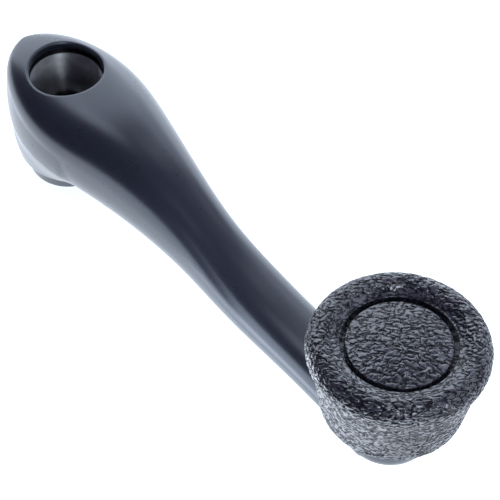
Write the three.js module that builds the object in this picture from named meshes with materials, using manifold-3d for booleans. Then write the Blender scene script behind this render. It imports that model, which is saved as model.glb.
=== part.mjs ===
// Car window winder handle: a cranked plastic arm on a splined spindle, with a free-spinning knob.
// Millimetres. Z is the spindle axis, zero at the foot of the hub's collar, and the arm runs along +X.
import * as THREE from "three";
import { NURBSCurve } from "three/addons/curves/NURBSCurve.js";
import { mergeVertices } from "three/addons/utils/BufferGeometryUtils.js";
import Module from "manifold-3d";

// Arm: reach from spindle to knob axis, dome and eye heights, widths
const REACH = 106.5;
const HUB_TOP = 31.3;
const HUB_HALF_WIDTH = 13.6;
const EYE_RADIUS = 9.4;
const EYE_TOP = 15.6;
const EYE_BOTTOM = 6.2;
const EYE_FOOT_ROUND = 1.8;
const EYE_BROW_ROUND = 0.8;

// Exponents of the arm's section above and below its widest line
const CROWN_POWER = 2.3;
const KEEL_POWER = 2.5;

// Hub boss, the collar under it and the soft joins between boss, dome and arm
const BOSS_RADIUS = 12.2;
const COLLAR_RADIUS = 8.65;
const COLLAR_FLARE = 0.65;
const COLLAR_HEIGHT = 4.2;
const COLLAR_CHAMFER = 0.4;
const BOSS_EDGE = 2.6;
const BOSS_BLEND = 2;

// Screw mouth in the dome and the metal insert moulded in under it
const MOUTH_RADIUS = 8.2;
const MOUTH_CHAMFER = 0.35;
const MOUTH_DEPTH = 3.9;
const CUP_STEP = 0.3;
const CUP_WALL = 1.4;
const CUP_DEPTH = 7.4;
const CUP_FLOOR = 3;
const CUP_CHAMFER = 0.5;
const BARREL_RADIUS = 6.3;
const SCREW_HOLE_RADIUS = 3.3;
const SCREW_WEB = 6;

// Spindle splines in the insert
const SPLINE_TEETH = 20;
const SPLINE_TIP_RADIUS = 4.15;
const SPLINE_ROOT_RADIUS = 4.75;

// Cored back of the arm
const CORE_START = 15;
const CORE_END = 95;
const CORE_ROOF = 3.2;
const CORE_CORNER = 1.6;
const RIB_COUNT = 5;
const RIB_THICKNESS = 1.6;
const RIB_SET_BACK = 1;

// Knob: overall size, tapered body, rolled ring and dished centre
const KNOB_RADIUS = 19.1;
const KNOB_HEIGHT = 21.6;
const NECK_SET_BACK = 1.3;
const KNOB_TAPER = 2.6;
const KNOB_FOOT_ROUND = 1.8;
const KNOB_WALL = 2.5;
const RING_TUBE = 3.3;
const RING_WIDTH = 7.05;
const DISH_DEPTH = 1.5;
const GROOVE_WIDTH = 0.95;
const LEDGE_DEPTH = 3.7;
const LEDGE_THICKNESS = 1.3;
const LEDGE_WIDTH = 2.15;
const VANE_COUNT = 6;
const VANE_THICKNESS = 1.3;
const VANE_HEIGHT = 7;

// Knob cap with its snap legs
const CAP_EDGE = 1.75;
const CAP_DOME = 0.9;
const CAP_CHAMFER = 0.35;
const LEG_LENGTH = 3.1;
const LEG_WALL = 1.3;
const HOOK_REACH = 0.7;
const HOOK_HEIGHT = 0.9;
const LEG_SLOTS = 3;
const LEG_SLOT_WIDTH = 3.2;

// Pin, bush, washers and star clip
const PIN_RADIUS = 3.6;
const PIN_HEAD_RADIUS = 5.6;
const PIN_HEAD_HEIGHT = 2;
const PIN_HEAD_CHAMFER = 0.3;
const PIN_TIP = 1.4;
const CLIP_GROOVE_DEPTH = 0.6;
const CLIP_GROOVE_WIDTH = 1.1;
const BUSH_WALL = 1;
const BUSH_FLANGE_REACH = 2.7;
const BUSH_FLANGE_HEIGHT = 0.8;
const SLEEVE_WALL = 2;
const SLEEVE_HEIGHT = 11.6;
const WASHER_RADIUS = 8.5;
const WASHER_THICKNESS = 0.7;
const WAVE_RADIUS = 6.5;
const WAVE_THICKNESS = 0.35;
const WAVE_RISE = 0.3;
const WAVE_COUNT = 3;
const CLIP_RADIUS = 6.3;
const CLIP_THICKNESS = 0.5;
const CLIP_RING = 1.5;
const CLIP_TEETH = 6;

// Clearance between pieces that meet, running clearance of the knob on its pin, and the overrun
// of every cut past the face it leaves
const GAP = 0.3;
const RUNNING_GAP = 0.08;
const OVERRUN = 5;

// Fineness: points round a section, rings over tail, hub, arm and core, steps round turned pieces
const SECTION_POINTS = 40;
const TAIL_RINGS = 14;
const HUB_RINGS = 12;
const ARM_RINGS = 25;
const CORE_RINGS = 22;
const RAIL_STEPS = 300;
const TURN_STEPS = 48;
const SMALL_TURN_STEPS = 32;
const ARC_STEPS = 4;
const ROLL_STEPS = 16;
const SOLVE_STEPS = 30;

// Heights that follow from the sizes above
const WASHER_Z = EYE_TOP + GAP;
const KNOB_Z = WASHER_Z + WASHER_THICKNESS + GAP;
const KNOB_TOP = KNOB_Z + KNOB_HEIGHT;
const RING_Z = KNOB_TOP - RING_TUBE;
const LEDGE_Z = KNOB_TOP - LEDGE_DEPTH;
const SLEEVE_TOP = KNOB_Z + SLEEVE_HEIGHT;
const WAVE_Z = SLEEVE_TOP + GAP + WAVE_RISE;
const CLIP_Z = WAVE_Z + WAVE_THICKNESS + WAVE_RISE + GAP;
const CLIP_GROOVE_Z = CLIP_Z - (CLIP_GROOVE_WIDTH - CLIP_THICKNESS) / 2;
const PIN_TOP = CLIP_GROOVE_Z + CLIP_GROOVE_WIDTH + PIN_TIP;
const CUP_TOP = HUB_TOP - MOUTH_DEPTH;
const CUP_BASE = CUP_TOP - CUP_DEPTH - CUP_FLOOR;
const SPLINE_END = CUP_TOP - CUP_DEPTH - SCREW_WEB;

// Arm rails as shares: length of the reach, half width of the hub's, crown of the climb from
// the eye's top to the hub's, widest line of the section's own height, keel of the climb from
// the eye's foot to the hub's top. The first row is the tip of the tail.
const railShares = [
  [-0.144, 0, 0.778, 0.619, 0.861],
  [-0.144, 0.393, 0.787, 0.619, 0.608],
  [-0.066, 0.891, 1.002, 0.619, 0.299],
  [0.075, 1.111, 0.983, 0.619, 0.076],
  [0.207, 0.847, 0.971, 0.581, 0.103],
  [0.338, 0.632, 0.762, 0.542, 0.069],
  [0.469, 0.509, 0.359, 0.504, 0.022],
  [0.62, 0.589, 0.013, 0.504, -0.016],
  [0.808, 0.532, -0.07, 0.504, -0.002],
  [1, 0.675, -0.019, 0.504, 0.002],
];

// Boss radius as shares of the stated one, against shares of the hub's height
const bossShares = [
  [0, 0.86],
  [0.21, 0.901],
  [0.35, 0.965],
  [0.51, 0.988],
  [0.655, 1],
  [0.8, 1.033],
  [1, 0.911],
];

// Half widths of the core as shares of the arm's, at its mouth and at its roof
const coreMouthShare = 0.52;
const coreRoofShare = 0.42;

// How far the middle of the core's rounded corner stands in from the square, as a share of the corner
const cornerShare = 1 / 3;

// Widths of a spline tooth and its space as shares of the pitch: flank, land, flank, gap
const toothShares = [0, 0.2, 0.5, 0.7];

// Angles of a clip tooth's inner edge as shares of the pitch
const clipToothShares = [0.14, 0.36, 0.64, 0.86];

const wasm = await Module();
wasm.setup();

// A geometry as a solid: welded, without slivers, faces outward
function solid(geometry) {
  const bare = geometry.clone();
  bare.deleteAttribute("normal");
  bare.deleteAttribute("uv");
  const welded = mergeVertices(bare);
  const faces = [];
  const index = welded.index.array;
  for (let i = 0; i < index.length; i += 3) {
    const [a, b, c] = index.slice(i, i + 3);
    if (a !== b && b !== c && c !== a) faces.push([a, b, c]);
  }
  const build = (list) =>
    new wasm.Manifold(
      new wasm.Mesh({
        numProp: 3,
        vertProperties: welded.attributes.position.array,
        triVerts: new Uint32Array(list.flat()),
      }),
    );
  const made = build(faces);
  return made.volume() > 0 ? made : build(faces.map(([a, b, c]) => [a, c, b]));
}

// A solid turned about Z from a closed profile of [radius, height] points, set down at x
function turned(profile, x = 0, steps = SMALL_TURN_STEPS) {
  const points = profile.map(([r, z]) => new THREE.Vector2(r, z));
  points.push(points[0].clone());
  const lathe = new THREE.LatheGeometry(points, steps);
  lathe.rotateX(Math.PI / 2);
  lathe.translate(x, 0, 0);
  return solid(lathe);
}

// A box between two corners
function block(low, high) {
  const size = high.map((h, i) => h - low[i]);
  const box = new THREE.BoxGeometry(...size);
  box.translate(...high.map((h, i) => (h + low[i]) / 2));
  return box;
}

// A skin over rings of equal point counts, joined end to end or closed by a fan at each end
function skin(rings, endless = false) {
  const count = rings[0].length;
  const points = rings.flat();
  const faces = [];
  const joins = endless ? rings.length : rings.length - 1;
  for (let i = 0; i < joins; i++) {
    for (let j = 0; j < count; j++) {
      const next = (i + 1) % rings.length;
      const a = i * count + j;
      const b = i * count + ((j + 1) % count);
      const c = next * count + ((j + 1) % count);
      const d = next * count + j;
      faces.push(a, b, c, a, c, d);
    }
  }
  if (!endless) {
    [0, rings.length - 1].forEach((end) => {
      const middle = new THREE.Vector3();
      rings[end].forEach((p) => middle.addScaledVector(p, 1 / count));
      points.push(middle);
      for (let j = 0; j < count; j++) {
        const a = end * count + j;
        const b = end * count + ((j + 1) % count);
        faces.push(...(end ? [a, b, points.length - 1] : [b, a, points.length - 1]));
      }
    });
  }
  const geometry = new THREE.BufferGeometry().setFromPoints(points);
  geometry.setIndex(faces);
  return geometry;
}

// Points of an arc about [r, z], angles in degrees
function arc([r, z], radius, from, to, steps = ARC_STEPS) {
  return Array.from({ length: steps + 1 }, (_, i) => {
    const a = THREE.MathUtils.degToRad(from + ((to - from) * i) / steps);
    return [r + radius * Math.cos(a), z + radius * Math.sin(a)];
  });
}

// The larger of two values, with a rounded change-over
function softMax(a, b, blend) {
  const near = Math.max(blend - Math.abs(a - b), 0) / blend;
  return Math.max(a, b) + (near * near * blend) / 4;
}

// Rails of the arm, from the tail's tip on: two cubic curves over the same control rows
const rows = railShares.map(([x, w, crown, side, keel]) => {
  const top = EYE_TOP + crown * (HUB_TOP - EYE_TOP);
  const bottom = EYE_BOTTOM + keel * (HUB_TOP - EYE_BOTTOM);
  return { x: x * REACH, w: w * HUB_HALF_WIDTH, top, bottom, side: bottom + side * (top - bottom) };
});
const spans = rows.length - 3;
const knots = [0, 0, 0, ...Array.from({ length: spans + 1 }, (_, i) => i / spans), 1, 1, 1];
const tip = new THREE.Vector3(rows[0].x, 0, rows[0].side);
const railOf = (pick) => new NURBSCurve(3, knots, rows.map((row) => new THREE.Vector4(...pick(row), 1)));
const upperRail = railOf((row) => [row.x, row.w, row.top]);
const lowerRail = railOf((row) => [row.side, row.bottom, 0]);

// The arm's section at a given length, read off the rails: half width, top, widest line, bottom
const railTable = Array.from({ length: RAIL_STEPS + 1 }, (_, i) => {
  const upper = upperRail.getPoint(i / RAIL_STEPS);
  const lower = lowerRail.getPoint(i / RAIL_STEPS);
  return { x: upper.x, w: upper.y, top: upper.z, side: lower.x, bottom: lower.y };
});
function sectionAt(x) {
  let [low, high] = [0, RAIL_STEPS];
  while (high - low > 1) {
    const middle = Math.floor((low + high) / 2);
    if (railTable[middle].x < x) low = middle;
    else high = middle;
  }
  const [a, b] = [railTable[low], railTable[high]];
  const share = THREE.MathUtils.clamp((x - a.x) / (b.x - a.x), 0, 1);
  const mix = (key) => a[key] + (b[key] - a[key]) * share;
  return { x, w: mix("w"), top: mix("top"), side: mix("side"), bottom: mix("bottom") };
}

// Boss radius at a height, by the curve through its shares
const bossCurve = new THREE.SplineCurve(bossShares.map((pair) => new THREE.Vector2(...pair)));
const bossTable = bossCurve.getPoints(bossShares.length * ARC_STEPS);
function bossRadius(z) {
  const share = THREE.MathUtils.clamp(z / HUB_TOP, 0, 1);
  const i = Math.max(bossTable.findIndex((p) => p.x >= share), 1);
  const [a, b] = [bossTable[i - 1], bossTable[i]];
  return BOSS_RADIUS * THREE.MathUtils.mapLinear(share, a.x, b.x, a.y, b.y);
}

// Signed distance, nearly, to arm and boss softly joined: negative inside
function outside({ x, y, z }) {
  const section = sectionAt(x);
  const above = z > section.side;
  const height = above ? section.top - section.side : section.side - section.bottom;
  const power = above ? CROWN_POWER : KEEL_POWER;
  const round = Math.abs(y / section.w) ** power + Math.abs((z - section.side) / height) ** power;
  const fromArm = Math.max((round ** (1 / power) - 1) * Math.min(section.w, height), tip.x - x);
  const fromWall = softMax(Math.hypot(x, y) - bossRadius(z), COLLAR_HEIGHT - z, BOSS_EDGE);
  const fromBoss = Math.max(fromWall, z - section.side);
  return -softMax(-fromArm, -fromBoss, BOSS_BLEND);
}

// Where rays from a centre leave the joined shape: round the centre's own section, or leaning
// towards an aim by an angle that shrinks from a right angle
function ringFrom(x, aim = tip, lean = Math.PI / 2) {
  const section = sectionAt(x);
  const centre = new THREE.Vector3(x, 0, section.side);
  const foot = x < BOSS_RADIUS ? COLLAR_HEIGHT : section.bottom;
  const towards = aim.clone().sub(centre).normalize();
  return Array.from({ length: SECTION_POINTS }, (_, i) => {
    const angle = (2 * Math.PI * i) / SECTION_POINTS;
    const height = Math.sin(angle) > 0 ? section.top - section.side : section.side - foot;
    const ray = new THREE.Vector3(0, Math.cos(angle) * section.w, Math.sin(angle) * height);
    ray.normalize().multiplyScalar(Math.sin(lean)).addScaledVector(towards, Math.cos(lean)).normalize();
    let [low, high] = [0, HUB_TOP];
    for (let k = 0; k < SOLVE_STEPS; k++) {
      const middle = (low + high) / 2;
      if (outside(centre.clone().addScaledVector(ray, middle)) < 0) low = middle;
      else high = middle;
    }
    return centre.clone().addScaledVector(ray, low);
  });
}

// Arm body: a fan of rings from the tail's tip to the spindle axis, sections from there to the eye
const rings = [];
for (let i = 0; i < TAIL_RINGS; i++) rings.push(ringFrom(0, tip, ((Math.PI / 2) * i) / TAIL_RINGS));
const hubEnd = BOSS_RADIUS + BOSS_EDGE;
for (let i = 0; i < HUB_RINGS; i++) rings.push(ringFrom(hubEnd * Math.sin(((Math.PI / 2) * i) / HUB_RINGS)));
for (let i = 0; i <= ARM_RINGS; i++) rings.push(ringFrom(hubEnd + ((REACH - hubEnd) * i) / ARM_RINGS));
const armSkin = solid(skin(rings));

const collar = turned(
  [
    [0, 0],
    [COLLAR_RADIUS - COLLAR_CHAMFER, 0],
    [COLLAR_RADIUS, COLLAR_CHAMFER],
    [COLLAR_RADIUS + COLLAR_FLARE, COLLAR_HEIGHT],
    [COLLAR_RADIUS + COLLAR_FLARE, COLLAR_HEIGHT + OVERRUN],
    [0, COLLAR_HEIGHT + OVERRUN],
  ],
  0,
  TURN_STEPS,
);
const footCentre = [EYE_RADIUS - EYE_FOOT_ROUND, EYE_BOTTOM + EYE_FOOT_ROUND];
const browCentre = [EYE_RADIUS - EYE_BROW_ROUND, EYE_TOP - EYE_BROW_ROUND];
const eye = turned(
  [
    [0, EYE_BOTTOM],
    ...arc(footCentre, EYE_FOOT_ROUND, -90, 0),
    ...arc(browCentre, EYE_BROW_ROUND, 0, 90),
    [0, EYE_TOP],
  ],
  REACH,
  TURN_STEPS,
);

// Mouth, insert pocket and barrel bore, cut in one turned shape
const rimZ = sectionAt(MOUTH_RADIUS).top - 2 * MOUTH_CHAMFER;
const pocket = turned(
  [
    [0, -OVERRUN],
    [BARREL_RADIUS + GAP, -OVERRUN],
    [BARREL_RADIUS + GAP, CUP_BASE - GAP],
    [MOUTH_RADIUS - CUP_STEP + CUP_WALL + GAP, CUP_BASE - GAP],
    [MOUTH_RADIUS - CUP_STEP + CUP_WALL + GAP, CUP_TOP + GAP],
    [MOUTH_RADIUS, CUP_TOP + GAP],
    [MOUTH_RADIUS, rimZ],
    [MOUTH_RADIUS + OVERRUN, rimZ + OVERRUN],
    [0, rimZ + OVERRUN],
  ],
  0,
  TURN_STEPS,
);
const pinBore = turned(
  [
    [0, 0],
    [PIN_HEAD_RADIUS + GAP, 0],
    [PIN_HEAD_RADIUS + GAP, EYE_BOTTOM + PIN_HEAD_HEIGHT + 2 * GAP],
    [PIN_RADIUS + GAP, EYE_BOTTOM + PIN_HEAD_HEIGHT + 2 * GAP],
    [PIN_RADIUS + GAP, EYE_TOP + OVERRUN],
    [0, EYE_TOP + OVERRUN],
  ],
  REACH,
);

// Core under the arm, following its rails, with cross ribs left standing
function coreRing(x) {
  const section = sectionAt(x);
  const mouth = section.w * coreMouthShare;
  const roof = section.w * coreRoofShare;
  const roofZ = section.top - CORE_ROOF;
  const half = [
    [mouth, section.bottom - OVERRUN],
    [roof, roofZ - CORE_CORNER],
    [roof - CORE_CORNER * cornerShare, roofZ - CORE_CORNER * cornerShare],
    [roof - CORE_CORNER, roofZ],
  ];
  const mirrored = half.map(([y, z]) => [-y, z]).reverse();
  return [...half, ...mirrored].map(([y, z]) => new THREE.Vector3(x, y, z));
}
const coreRings = Array.from({ length: CORE_RINGS + 1 }, (_, i) =>
  coreRing(CORE_START + ((CORE_END - CORE_START) * i) / CORE_RINGS),
);
let core = solid(skin(coreRings));
for (let i = 1; i <= RIB_COUNT; i++) {
  const x = CORE_START + ((CORE_END - CORE_START) * i) / (RIB_COUNT + 1);
  const foot = sectionAt(x).bottom + RIB_SET_BACK;
  const low = [x - RIB_THICKNESS / 2, -HUB_HALF_WIDTH, foot];
  const high = [x + RIB_THICKNESS / 2, HUB_HALF_WIDTH, HUB_TOP];
  core = core.subtract(solid(block(low, high)));
}
const arm = armSkin.add(eye).add(collar).subtract(pocket).subtract(pinBore).subtract(core);

// Insert: a cup under the mouth on a splined barrel
const cupIn = MOUTH_RADIUS - CUP_STEP;
const cupOut = cupIn + CUP_WALL;
const insertBody = turned(
  [
    [SCREW_HOLE_RADIUS, GAP],
    [BARREL_RADIUS, GAP],
    [BARREL_RADIUS, CUP_BASE],
    [cupOut, CUP_BASE],
    [cupOut, CUP_TOP],
    [cupIn + CUP_CHAMFER, CUP_TOP],
    [cupIn, CUP_TOP - CUP_CHAMFER],
    [cupIn, CUP_TOP - CUP_DEPTH],
    [SCREW_HOLE_RADIUS + CUP_CHAMFER, CUP_TOP - CUP_DEPTH],
    [SCREW_HOLE_RADIUS, CUP_TOP - CUP_DEPTH - CUP_CHAMFER],
  ],
  0,
  TURN_STEPS,
);
const splineOutline = new THREE.Shape(
  Array.from({ length: SPLINE_TEETH }, (_, i) =>
    toothShares.map((share, k) => {
      const angle = ((i + share) * 2 * Math.PI) / SPLINE_TEETH;
      const radius = k === 1 || k === 2 ? SPLINE_ROOT_RADIUS : SPLINE_TIP_RADIUS;
      return new THREE.Vector2(radius * Math.cos(angle), radius * Math.sin(angle));
    }),
  ).flat(),
);
const splineBore = new THREE.ExtrudeGeometry(splineOutline, {
  depth: SPLINE_END + OVERRUN,
  bevelEnabled: false,
});
splineBore.translate(0, 0, -OVERRUN);
const insert = insertBody.subtract(solid(splineBore));

// Pin: head let into the eye's foot, journal for the knob, groove for the clip
const headZ = EYE_BOTTOM + GAP;
const pin = turned(
  [
    [0, headZ],
    [PIN_HEAD_RADIUS - PIN_HEAD_CHAMFER, headZ],
    [PIN_HEAD_RADIUS, headZ + PIN_HEAD_CHAMFER],
    [PIN_HEAD_RADIUS, headZ + PIN_HEAD_HEIGHT],
    [PIN_RADIUS, headZ + PIN_HEAD_HEIGHT],
    [PIN_RADIUS, CLIP_GROOVE_Z],
    [PIN_RADIUS - CLIP_GROOVE_DEPTH, CLIP_GROOVE_Z],
    [PIN_RADIUS - CLIP_GROOVE_DEPTH, CLIP_GROOVE_Z + CLIP_GROOVE_WIDTH],
    [PIN_RADIUS, CLIP_GROOVE_Z + CLIP_GROOVE_WIDTH],
    [PIN_RADIUS, PIN_TOP - CLIP_GROOVE_DEPTH],
    [PIN_RADIUS - CLIP_GROOVE_DEPTH, PIN_TOP],
    [0, PIN_TOP],
  ],
  REACH,
);

// A flat ring about the knob axis
const ring = (inner, outer, z, thickness) =>
  turned(
    [
      [inner, z],
      [outer, z],
      [outer, z + thickness],
      [inner, z + thickness],
    ],
    REACH,
  );
const thrustWasher = ring(PIN_RADIUS + GAP, WASHER_RADIUS, WASHER_Z, WASHER_THICKNESS);

// Wave washer: a flat section carried round a waving circle
const waveRings = Array.from({ length: SMALL_TURN_STEPS }, (_, i) => {
  const angle = (2 * Math.PI * i) / SMALL_TURN_STEPS;
  const z = WAVE_Z + WAVE_RISE * Math.cos(WAVE_COUNT * angle);
  const at = (r, h) => new THREE.Vector3(REACH + r * Math.cos(angle), r * Math.sin(angle), h);
  const inner = PIN_RADIUS + GAP;
  const upper = z + WAVE_THICKNESS;
  return [at(inner, z), at(WAVE_RADIUS, z), at(WAVE_RADIUS, upper), at(inner, upper)];
});
const waveWasher = solid(skin(waveRings, true));

// Star clip: a ring whose inner teeth reach into the pin's groove
const clipShape = new THREE.Shape().absarc(0, 0, CLIP_RADIUS, 0, 2 * Math.PI);
const toothTip = PIN_RADIUS - CLIP_GROOVE_DEPTH + GAP;
const clipHole = Array.from({ length: CLIP_TEETH }, (_, i) =>
  clipToothShares.map((share, k) => {
    const angle = ((i + share) * 2 * Math.PI) / CLIP_TEETH;
    const radius = k === 1 || k === 2 ? toothTip : CLIP_RADIUS - CLIP_RING;
    return new THREE.Vector2(radius * Math.cos(angle), radius * Math.sin(angle));
  }),
).flat();
clipShape.holes.push(new THREE.Path(clipHole));
const clipPlate = new THREE.ExtrudeGeometry(clipShape, {
  depth: CLIP_THICKNESS,
  bevelEnabled: false,
  curveSegments: SMALL_TURN_STEPS,
});
clipPlate.translate(REACH, 0, CLIP_Z);
const starClip = solid(clipPlate);

// Bush: a flanged sleeve pressed into the knob from below
const bushIn = PIN_RADIUS + RUNNING_GAP;
const bushOut = bushIn + BUSH_WALL;
const bush = turned(
  [
    [bushIn, KNOB_Z],
    [bushIn + BUSH_FLANGE_REACH, KNOB_Z],
    [bushIn + BUSH_FLANGE_REACH, KNOB_Z + BUSH_FLANGE_HEIGHT],
    [bushOut, KNOB_Z + BUSH_FLANGE_HEIGHT],
    [bushOut, SLEEVE_TOP],
    [bushIn, SLEEVE_TOP],
  ],
  REACH,
);

// Knob shell: tapered body, rolled ring, dish, cap ledge, hollow and centre sleeve
const ringRadius = KNOB_RADIUS - RING_TUBE;
const neckRadius = KNOB_RADIUS - NECK_SET_BACK;
const footRadius = neckRadius - KNOB_TAPER;
const dishRadius = KNOB_RADIUS - RING_WIDTH;
const ledgeRadius = dishRadius - LEDGE_WIDTH;
const sleeveIn = bushOut + GAP;
const sleeveOut = sleeveIn + SLEEVE_WALL;
const counterbore = bushIn + BUSH_FLANGE_REACH + GAP;
const hollowFloor = KNOB_Z + BUSH_FLANGE_HEIGHT + GAP + KNOB_WALL;
const neckAngle = THREE.MathUtils.radToDeg(Math.acos((neckRadius - ringRadius) / RING_TUBE));
const dishRun = ringRadius - dishRadius;
const dishDrop = RING_TUBE - DISH_DEPTH;
const dishBearing = Math.atan2(dishDrop, -dishRun);
const dishLean = Math.acos(RING_TUBE / Math.hypot(dishRun, dishDrop));
const dishAngle = THREE.MathUtils.radToDeg(dishBearing - dishLean);
const footRoundCentre = [footRadius - KNOB_FOOT_ROUND, KNOB_Z + KNOB_FOOT_ROUND];
const shellBody = turned(
  [
    [sleeveIn, KNOB_Z + BUSH_FLANGE_HEIGHT + GAP],
    [counterbore, KNOB_Z + BUSH_FLANGE_HEIGHT + GAP],
    [counterbore, KNOB_Z],
    ...arc(footRoundCentre, KNOB_FOOT_ROUND, -90, 0),
    ...arc([ringRadius, RING_Z], RING_TUBE, -neckAngle, dishAngle, ROLL_STEPS),
    [dishRadius, KNOB_TOP - DISH_DEPTH],
    [dishRadius, LEDGE_Z],
    [ledgeRadius, LEDGE_Z],
    [ledgeRadius, LEDGE_Z - LEDGE_THICKNESS],
    [neckRadius - KNOB_WALL, LEDGE_Z - LEDGE_THICKNESS],
    [footRadius - KNOB_WALL, hollowFloor],
    [sleeveOut, hollowFloor],
    [sleeveOut, SLEEVE_TOP],
    [sleeveIn, SLEEVE_TOP],
  ],
  REACH,
  TURN_STEPS,
);
let shell = shellBody;
for (let i = 0; i < VANE_COUNT; i++) {
  const low = [(sleeveIn + sleeveOut) / 2, -VANE_THICKNESS / 2, hollowFloor - KNOB_WALL / 2];
  const high = [footRadius - KNOB_WALL / 2, VANE_THICKNESS / 2, hollowFloor + VANE_HEIGHT];
  const vane = block(low, high);
  vane.rotateZ((2 * Math.PI * i) / VANE_COUNT);
  vane.translate(REACH, 0, 0);
  shell = shell.add(solid(vane));
}

// Cap: a shallow dome on a ring of hooked legs
const capZ = LEDGE_Z + GAP;
const capRadius = dishRadius - GROOVE_WIDTH;
const legOut = ledgeRadius - GAP;
const legIn = legOut - LEG_WALL;
const hookZ = LEDGE_Z - LEDGE_THICKNESS - GAP;
const legFoot = capZ - LEG_LENGTH;
const edgeTop = capZ + CAP_EDGE;
const domeShares = [0.97, 0.8, 0.6, 0.4, 0.2];
const capBody = turned(
  [
    [0, capZ],
    [legIn, capZ],
    [legIn, legFoot],
    [legOut, legFoot],
    [legOut + HOOK_REACH, hookZ - HOOK_HEIGHT / 2],
    [legOut + HOOK_REACH, hookZ],
    [legOut, hookZ],
    [legOut, capZ],
    [capRadius, capZ],
    [capRadius, edgeTop - CAP_CHAMFER],
    [capRadius - CAP_CHAMFER, edgeTop],
    ...domeShares.map((share) => [
      (capRadius - CAP_CHAMFER) * share,
      edgeTop + CAP_DOME * (1 - share * share),
    ]),
    [0, edgeTop + CAP_DOME],
  ],
  REACH,
  TURN_STEPS,
);
let cap = capBody;
for (let i = 0; i < LEG_SLOTS; i++) {
  const low = [-capRadius, -LEG_SLOT_WIDTH / 2, legFoot - OVERRUN];
  const high = [capRadius, LEG_SLOT_WIDTH / 2, capZ];
  const slot = block(low, high);
  slot.rotateZ((Math.PI * i) / LEG_SLOTS);
  slot.translate(REACH, 0, 0);
  cap = cap.subtract(solid(slot));
}

// Each solid as a named mesh with its own finish
const group = new THREE.Group();
group.name = "window_winder_handle";
function place(name, made, color, roughness, metalness) {
  const { numProp, vertProperties, triVerts } = made.getMesh();
  const geometry = new THREE.BufferGeometry();
  geometry.setAttribute("position", new THREE.BufferAttribute(new Float32Array(vertProperties), numProp));
  geometry.setIndex(Array.from(triVerts));
  const faceted = geometry.toNonIndexed();
  faceted.computeVertexNormals();
  const mesh = new THREE.Mesh(faceted, new THREE.MeshStandardMaterial({ color, roughness, metalness }));
  mesh.name = name;
  group.add(mesh);
}
place("arm", arm, 0x1b1c24, 0.38, 0);
place("hub_insert", insert, 0x2b2c30, 0.3, 0.9);
place("knob_pin", pin, 0x8f9297, 0.35, 1);
place("thrust_washer", thrustWasher, 0xd8d4c4, 0.5, 0);
place("wave_washer", waveWasher, 0x77797d, 0.35, 1);
place("star_clip", starClip, 0x5c5f64, 0.35, 1);
place("knob_shell", shell, 0x17181f, 0.5, 0);
place("knob_bush", bush, 0xe4e0d2, 0.45, 0);
place("knob_cap", cap, 0x191a21, 0.5, 0);

export default group;
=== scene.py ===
import math

import bpy
import numpy as np
from mathutils import Matrix, Vector


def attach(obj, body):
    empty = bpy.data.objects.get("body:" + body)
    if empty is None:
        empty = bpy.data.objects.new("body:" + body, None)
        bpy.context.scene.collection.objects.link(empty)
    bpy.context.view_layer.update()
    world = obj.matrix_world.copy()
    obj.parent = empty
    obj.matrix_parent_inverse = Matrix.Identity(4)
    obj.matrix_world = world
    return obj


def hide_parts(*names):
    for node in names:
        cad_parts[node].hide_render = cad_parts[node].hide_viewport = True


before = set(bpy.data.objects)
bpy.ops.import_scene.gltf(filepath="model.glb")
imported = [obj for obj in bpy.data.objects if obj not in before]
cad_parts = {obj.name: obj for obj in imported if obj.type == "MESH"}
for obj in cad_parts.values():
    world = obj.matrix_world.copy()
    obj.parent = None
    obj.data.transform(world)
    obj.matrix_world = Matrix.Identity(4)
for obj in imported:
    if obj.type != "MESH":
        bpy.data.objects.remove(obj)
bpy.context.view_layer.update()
mm = 0.001
tiny = 1e-9
knobAxisX = 106.5  # millimetres from the hub's axis
sharpAngle = math.radians(38)
print("frame loaded:", len(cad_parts), "nodes")

# Camera: at the photograph's place, worked out for a picture 500 pixels wide
camera = {
    "pictureSize": 500,
    "focalPixels": 2608.25,
    "pitch": 0.87462614,
    "bearing": 2.37410359,
    "roll": 0.060135938,
    "distance": 559.793,
    "target": (60, 0, 15),
    "targetPixel": (242.619, 274.180),
    "sensorWidth": 36,
    "seesFrom": 0.01,
    "seesTo": 20,
}


def setCamera(c):
    pitch, bearing, roll = c["pitch"], c["bearing"], c["roll"]
    forward = Vector((math.cos(bearing) * math.cos(pitch), math.sin(bearing) * math.cos(pitch),
                      -math.sin(pitch)))
    level = Vector((math.sin(bearing), -math.cos(bearing), 0))
    upright = level.cross(forward)
    right = math.cos(roll) * level + math.sin(roll) * upright
    up = -math.sin(roll) * level + math.cos(roll) * upright
    half = c["pictureSize"] / 2
    perPixel = c["distance"] / c["focalPixels"]
    place = (Vector(c["target"]) - forward * c["distance"] - right * (c["targetPixel"][0] - half) * perPixel
             + up * (c["targetPixel"][1] - half) * perPixel)
    data = bpy.data.cameras.new("camera")
    data.sensor_width = c["sensorWidth"]
    data.lens = c["focalPixels"] / c["pictureSize"] * data.sensor_width
    data.clip_start, data.clip_end = c["seesFrom"], c["seesTo"]
    view = bpy.data.objects.new("camera", data)
    turn = Matrix((right, up, -forward)).transposed()
    view.matrix_world = Matrix.Translation(place * mm) @ turn.to_4x4()
    bpy.context.collection.objects.link(view)
    bpy.context.scene.camera = view


setCamera(camera)
bpy.context.scene.view_settings.view_transform = "Standard"
print("camera set")


# Node helpers for shader and geometry trees alike
def fill(tree, node, inputs):
    # an input goes by its name, with _ or a blank, or by its place, as in at0
    for name, value in inputs.items():
        placed = name.startswith("at") and name[2:].isdigit()
        socket = node.inputs[int(name[2:]) if placed else name.replace("_", " ")]
        if isinstance(value, bpy.types.NodeSocket):
            tree.links.new(value, socket)
        else:
            socket.default_value = value
    return node


def addNode(tree, kind, settings=None, **inputs):
    node = tree.nodes.new(kind)
    for key, value in (settings or {}).items():
        setattr(node, key, value)
    return fill(tree, node, inputs)


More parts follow.
